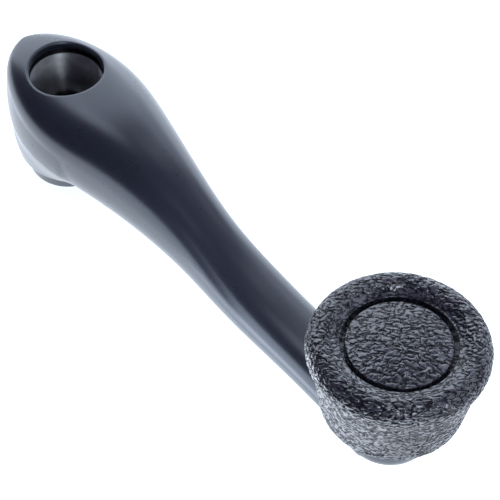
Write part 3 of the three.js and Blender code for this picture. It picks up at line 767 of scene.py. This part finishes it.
def meshField(field, lines, moves=6, longestMove=0.2, leastSlope=0.05):
    # one point in every grid cell that the skin passes, moved onto the skin, with the skin's own normals
    grid = np.stack(np.meshgrid(*lines, indexing="ij"), -1)
    value = np.concatenate([field(slab[None])[0][None] for slab in grid])
    inside = value < 0
    means, count, cuts = cellPoints(grid, value, inside)
    active = count > 0
    number = np.full(active.shape, -1)
    number[active] = np.arange(active.sum())
    points, faces = means[active], cellFaces(number, inside, cuts)
    for _ in range(moves):
        level, slope = field(points), slopeOf(field, points)
        step = -level[:, None] * slope / np.maximum((slope ** 2).sum(1), leastSlope)[:, None]
        length = np.linalg.norm(step, axis=1)[:, None]
        points = points + step * np.minimum(1, longestMove / np.maximum(length, tiny))
    slope = slopeOf(field, points)
    return points, faces, slope / np.maximum(np.linalg.norm(slope, axis=1), tiny)[:, None]


def makeArm(a):
    fine, coarse, rim = a["gridFine"], a["gridCoarse"], a["mouthRadius"] + a["gridFineRoom"]
    side = a["hubHalfWidth"] + a["gridPastSides"]
    lines = (gridLine(a["gridTail"], a["reach"] + a["eyeRadius"] + a["gridPastEye"], -rim, rim, fine, coarse),
             gridLine(-side, side, -rim, rim, fine, coarse),
             gridLine(-a["gridPastEnds"], a["hubTop"] + a["gridPastEnds"], a["gridMouthFoot"],
                      a["hubTop"] + a["gridMouthRoom"], a["gridMouth"], coarse))
    points, faces, normals = meshField(armField, lines)
    return meshPiece("arm_skin", points, faces.tolist(), "satin_black", normals)


hand(makeArm(arm), "handle", "arm")


# Geometry node trees: grain pressed into a skin, and copies set round an upright axis
def makeGrainSkin():
    tree, given, result = newGroup("grainSkin", "GeometryNodeTree", [
        ("Geometry", "NodeSocketGeometry", None), *foldInputs,
        ("Crease Depth", "NodeSocketFloat", 0.0001),
        ("Swell", "NodeSocketFloat", 0.0001),
        ("Finish", "NodeSocketMaterial", None),
    ], [("Geometry", "NodeSocketGeometry")])
    scaled, crown = grainFolds(tree, addNode(tree, "GeometryNodeInputPosition").outputs[0], given)
    swell = noiseNode(tree, scaled, grainShape["swellScale"], 0.0)["Fac"]
    sunk = mathNode(tree, "MULTIPLY", mathNode(tree, "SUBTRACT", crown, 1.0), given["Crease Depth"])
    below = mathNode(tree, "SUBTRACT", swell, grainShape["swellTop"])
    lower = mathNode(tree, "MULTIPLY", below, given["Swell"])
    share = addNode(tree, "GeometryNodeInputNamedAttribute", {"data_type": "FLOAT"}, Name="grained")
    depth = mathNode(tree, "MULTIPLY", mathNode(tree, "ADD", sunk, lower), share.outputs["Attribute"])
    push = vectorNode(tree, "SCALE", addNode(tree, "GeometryNodeInputNormal").outputs[0], Scale=depth)
    moved = addNode(tree, "GeometryNodeSetPosition", Geometry=given["Geometry"], Offset=push)
    real = addNode(tree, "GeometryNodeRealizeInstances", Geometry=moved.outputs[0])
    dressed = addNode(tree, "GeometryNodeSetMaterial", Geometry=real.outputs[0], Material=given["Finish"])
    fill(tree, result, {"Geometry": dressed.outputs[0]})
    return tree


def makeCopiesRound():
    tree, given, result = newGroup("copiesRound", "GeometryNodeTree", [
        ("Geometry", "NodeSocketGeometry", None),
        ("Copy", "NodeSocketObject", None),
        ("Count", "NodeSocketInt", 6),
        ("Centre", "NodeSocketVector", None),
        ("First Turn", "NodeSocketFloat", 0.0),
        ("Finish", "NodeSocketMaterial", None),
    ], [("Geometry", "NodeSocketGeometry")])
    copy = addNode(tree, "GeometryNodeObjectInfo", {"transform_space": "ORIGINAL"}, Object=given["Copy"])
    marks = addNode(tree, "GeometryNodePoints", Count=given["Count"], Position=given["Centre"])
    step = mathNode(tree, "DIVIDE", 2 * math.pi, given["Count"])
    index = addNode(tree, "GeometryNodeInputIndex").outputs[0]
    angle = mathNode(tree, "ADD", mathNode(tree, "MULTIPLY", index, step), given["First Turn"])
    turn = addNode(tree, "ShaderNodeCombineXYZ", X=0.0, Y=0.0, Z=angle)
    copies = addNode(tree, "GeometryNodeInstanceOnPoints", Points=marks.outputs[0],
                     Instance=copy.outputs["Geometry"], Rotation=turn.outputs[0])
    joined = tree.nodes.new("GeometryNodeJoinGeometry")
    tree.links.new(copies.outputs[0], joined.inputs[0])
    tree.links.new(given["Geometry"], joined.inputs[0])
    real = addNode(tree, "GeometryNodeRealizeInstances", Geometry=joined.outputs[0])
    dressed = addNode(tree, "GeometryNodeSetMaterial", Geometry=real.outputs[0], Material=given["Finish"])
    fill(tree, result, {"Geometry": dressed.outputs[0]})
    return tree


grainSkin, copiesRound = makeGrainSkin(), makeCopiesRound()


def throughNodes(piece, tree, **values):
    # the piece's mesh as the node tree makes it, with no modifier left on it
    modifier = piece.modifiers.new(tree.name, "NODES")
    modifier.node_group = tree
    sockets = {item.name: item.identifier for item in tree.interface.items_tree if item.in_out == "INPUT"}
    for name, value in values.items():
        modifier[sockets[name.replace("_", " ")]] = value
    bpy.context.view_layer.update()
    evaluated = piece.evaluated_get(bpy.context.evaluated_depsgraph_get())
    mesh = bpy.data.meshes.new_from_object(evaluated)
    piece.modifiers.remove(modifier)
    piece.data = mesh
    mesh.name = piece.name


def pressGrain(piece, finish, share, sizes):
    # share: how much of the grain each point gets
    piece.data.attributes.new("grained", "FLOAT", "POINT").data.foreach_set("value", share)
    throughNodes(piece, grainSkin, **grained[finish]["folds"], Crease_Depth=sizes["creaseDepth"],
                 Swell=sizes["swell"], Finish=materials[finish])


def setRound(piece, copy, finish, count, firstTurn=0.0):
    throughNodes(piece, copiesRound, Copy=copy, Count=count, Centre=(knobAxisX * mm, 0.0, 0.0),
                 First_Turn=firstTurn, Finish=materials[finish])
    bpy.data.objects.remove(copy)
    piece.data.set_sharp_from_angle(angle=sharpAngle)


def arcPoints(centre, radius, start, end, steps):
    angles = np.radians(np.linspace(start, end, steps + 1))
    return [(centre[0] + radius * math.cos(a), centre[1] + radius * math.sin(a)) for a in angles]


def cutFiner(path, longest):
    # an open path with every side cut into steps no longer than asked
    out = []
    for here, after in zip(path, path[1:]):
        count = max(1, math.ceil(math.dist(here, after) / longest))
        for k in range(count):
            out.append(tuple(u + (v - u) * k / count for u, v in zip(here, after)))
    return out + [path[-1]]


def turnedMesh(path, steps, axisX=0.0, toothRadii=None):
    # a closed outline of radius and height carried round an upright axis; a third value of 1 gives the
    # point the teeth's radius instead of its own
    angles = 2 * np.pi * np.arange(steps) / steps
    points, index = [], []
    for r, z, *toothed in path:
        if r < tiny:
            index.append([len(points)] * steps)
            points.append((axisX, 0, z))
            continue
        index.append(list(range(len(points), len(points) + steps)))
        for j, a in enumerate(angles):
            radius = toothRadii[j % len(toothRadii)] if toothed else r
            points.append((axisX + radius * math.cos(a), radius * math.sin(a), z))
    flat = np.array([point[:2] for point in path])
    after = np.roll(flat, -1, 0)
    area = np.sum(flat[:, 0] * after[:, 1] - after[:, 0] * flat[:, 1])
    faces = []
    for i in range(len(path)):
        lower, upper = index[i], index[(i + 1) % len(path)]
        for j in range(steps):
            k = (j + 1) % steps
            corners = [lower[j], lower[k], upper[k], upper[j]]
            loop = [c for n, c in enumerate(corners) if c != corners[n - 1]]
            if len(loop) > 2:
                faces.append(loop if area > 0 else loop[::-1])
    return points, faces, index


# Insert: a turned cup with a screw seat, on a barrel with a splined bore
insert = {
    "steps": 200, "foot": 0.3, "barrelRadius": 6.3, "barrelChamfer": 0.3, "cupBase": 17, "cupOut": 9.3,
    "cupTop": 27.4, "cupIn": 8.1, "lip": 0.12, "lipSteps": 4, "seat": 20, "seatRound": 2.4, "seatSteps": 8,
    "screwHole": 3.3, "holeLip": 0.5, "splineEnd": 14,
    "toothRadii": (4.15, 4.45, 4.75, 4.75, 4.75, 4.75, 4.45, 4.15, 4.15, 4.15),
}


def makeInsert(n):
    chamfer, spline = n["barrelChamfer"], n["toothRadii"][0]
    path = [
        (n["barrelRadius"] - chamfer, n["foot"]), (n["barrelRadius"], n["foot"] + chamfer),
        (n["barrelRadius"], n["cupBase"]), (n["cupOut"], n["cupBase"]), (n["cupOut"], n["cupTop"]),
        *arcPoints((n["cupIn"] + n["lip"], n["cupTop"] - n["lip"]), n["lip"], 90, 180, n["lipSteps"]),
        *arcPoints((n["cupIn"] - n["seatRound"], n["seat"] + n["seatRound"]), n["seatRound"], 0, -90,
                   n["seatSteps"]),
        *arcPoints((n["screwHole"] + n["holeLip"], n["seat"] - n["holeLip"]), n["holeLip"], 90, 180,
                   n["lipSteps"]),
        (n["screwHole"], n["splineEnd"]), (spline, n["splineEnd"], 1), (spline, n["foot"], 1),
    ]
    points, faces, _ = turnedMesh(path, n["steps"], 0.0, n["toothRadii"])
    return meshPiece("insert", points, faces, "rubbed_steel")


hand(makeInsert(insert), "handle", "hub_insert")

# Knob: tapered body, rolled ring, dish, ledge for the cap, hollow with its sleeve and vanes
knob = {
    "foot": 16.9, "top": 38.43, "radius": 19.06, "neckRadius": 17.8, "footRadius": 15.2, "footRound": 1.8,
    "footSteps": 8, "ringTube": 3.3, "ringSteps": 40,
    "dishDepth": 1.5, "dishRadius": 12.05, "land": 0.35, "dishLip": 0.08, "dishLipDrop": 0.02,
    "dishLipFoot": 0.1, "ledge": 34.8, "ledgeFoot": 33.5, "ledgeRadius": 9.9, "wall": 2.5,
    "sleeveIn": 4.98, "sleeveOut": 6.98, "sleeveTop": 28.5, "counterbore": 6.68, "counterboreTop": 18,
    "hollowFloor": 20.5, "vaneCount": 6, "vaneThickness": 1.3, "vaneTop": 27.5, "vaneSunk": 1,
    "steps": 520, "grainStep": 0.24, "grainFade": 6, "creaseDepth": 0.00017, "swell": 0.0002,
}


def knobOutline(k):
    # the grained outside from foot to dish, then the hidden inside back to the foot
    ringRadius, ringZ = k["radius"] - k["ringTube"], k["top"] - k["ringTube"]
    neck = math.degrees(math.acos((k["neckRadius"] - ringRadius) / k["ringTube"]))
    landOut = k["dishRadius"] + k["land"]
    run, drop = ringRadius - landOut, k["ringTube"] - k["dishDepth"]
    inner = math.degrees(math.atan2(drop, -run) - math.acos(k["ringTube"] / math.hypot(run, drop)))
    dishZ = k["top"] - k["dishDepth"]
    outer = [
        *arcPoints((k["footRadius"] - k["footRound"], k["foot"] + k["footRound"]), k["footRound"], -90, 0,
                   k["footSteps"]),
        *arcPoints((ringRadius, ringZ), k["ringTube"], -neck, inner, k["ringSteps"]),
        (landOut, dishZ),
    ]
    hidden = [
        (k["dishRadius"] + k["dishLip"], dishZ - k["dishLipDrop"]),
        (k["dishRadius"], dishZ - k["dishLipFoot"]), (k["dishRadius"], k["ledge"]),
        (k["ledgeRadius"], k["ledge"]), (k["ledgeRadius"], k["ledgeFoot"]),
        (k["neckRadius"] - k["wall"], k["ledgeFoot"]), (k["footRadius"] - k["wall"], k["hollowFloor"]),
        (k["sleeveOut"], k["hollowFloor"]), (k["sleeveOut"], k["sleeveTop"]), (k["sleeveIn"], k["sleeveTop"]),
        (k["sleeveIn"], k["counterboreTop"]), (k["counterbore"], k["counterboreTop"]),
        (k["counterbore"], k["foot"]),
    ]
    return cutFiner(outer, k["grainStep"]), hidden


def blockMesh(low, high):
    points = [(x, y, z) for x in (low[0], high[0]) for y in (low[1], high[1]) for z in (low[2], high[2])]
    faces = [(0, 1, 3, 2), (4, 6, 7, 5), (0, 4, 5, 1), (2, 3, 7, 6), (0, 2, 6, 4), (1, 5, 7, 3)]
    return points, faces


def makeKnob(k):
    outer, hidden = knobOutline(k)
    points, faces, index = turnedMesh(outer + hidden, k["steps"], knobAxisX)
    piece = meshPiece("knob", points, faces, "grained_knob")
    share, fade = np.zeros(len(points)), k["grainFade"]
    for i in range(len(outer)):
        share[index[i]] = max(min(i - fade, len(outer) - 1 - i, fade) / fade, 0)
    pressGrain(piece, "grained_knob", share, k)

    vane = meshPiece("vane", *blockMesh(
        ((k["sleeveIn"] + k["sleeveOut"]) / 2, -k["vaneThickness"] / 2, k["hollowFloor"] - k["vaneSunk"]),
        (k["footRadius"] - k["wall"] / 2, k["vaneThickness"] / 2, k["vaneTop"])), "grained_knob")
    setRound(piece, vane, "grained_knob", k["vaneCount"])
    return piece


hand(makeKnob(knob), "knob", "knob_shell")

# Cap: a shallow grained dome on hooked legs
cap = {
    "foot": 35.1, "radius": 11.1, "chamfer": 0.2, "edgeTop": 36.85, "domeTop": 37.75, "edgeRound": 0.4,
    "edgeTurn": 80, "edgeSteps": 4,
    "legIn": 8.3, "legOut": 9.6, "legFoot": 32, "hookOut": 10.3, "hookTop": 33.2, "hookFoot": 32.75,
    "legCount": 6, "legSpan": 39.6, "legSteps": 10, "legSunk": 0.2,
    "steps": 320, "rings": 52, "grainFrom": 6, "grainFade": 4, "creaseDepth": 0.00015, "swell": 0.00018,
}


def legMesh(c):
    # a hooked outline carried through part of a turn
    top = c["foot"] + c["legSunk"]
    outline = [
        (c["legIn"], c["legFoot"]), (c["legOut"], c["legFoot"]), (c["hookOut"], c["hookFoot"]),
        (c["hookOut"], c["hookTop"]), (c["legOut"], c["hookTop"]), (c["legOut"], top), (c["legIn"], top),
    ]
    angles = np.radians(np.linspace(-c["legSpan"] / 2, c["legSpan"] / 2, c["legSteps"] + 1))
    points = [(r * math.cos(a), r * math.sin(a), z) for a in angles for r, z in outline]
    n = len(outline)
    faces = [[i * n + j, (i + 1) * n + j, (i + 1) * n + (j + 1) % n, i * n + (j + 1) % n]
             for i in range(c["legSteps"]) for j in range(n)]
    faces += [list(range(n)), [c["legSteps"] * n + j for j in reversed(range(n))]]
    return points, [face[::-1] for face in faces]


def makeCap(c):
    edge = arcPoints((c["radius"] - c["edgeRound"], c["edgeTop"] - c["edgeRound"]), c["edgeRound"], 0,
                     c["edgeTurn"], c["edgeSteps"])
    rise = c["domeTop"] - edge[-1][1]
    dome = [(edge[-1][0] * s, edge[-1][1] + rise * (1 - s * s)) for s in np.linspace(1, 0, c["rings"])]
    path = [(0, c["foot"]), (c["radius"] - c["chamfer"], c["foot"]),
            (c["radius"], c["foot"] + c["chamfer"]), *edge, *dome[1:]]
    points, faces, index = turnedMesh(path, c["steps"], knobAxisX)
    piece = meshPiece("cap", points, faces, "grained_cap")
    share = np.zeros(len(points))
    for i in range(c["grainFrom"], len(path)):
        share[index[i]] = min((i - c["grainFrom"]) / c["grainFade"], 1)
    pressGrain(piece, "grained_cap", share, c)
    setRound(piece, meshPiece("leg", *legMesh(c), "grained_cap"), "grained_cap", c["legCount"],
             math.pi / c["legCount"])
    return piece


hand(makeCap(cap), "knob", "knob_cap")
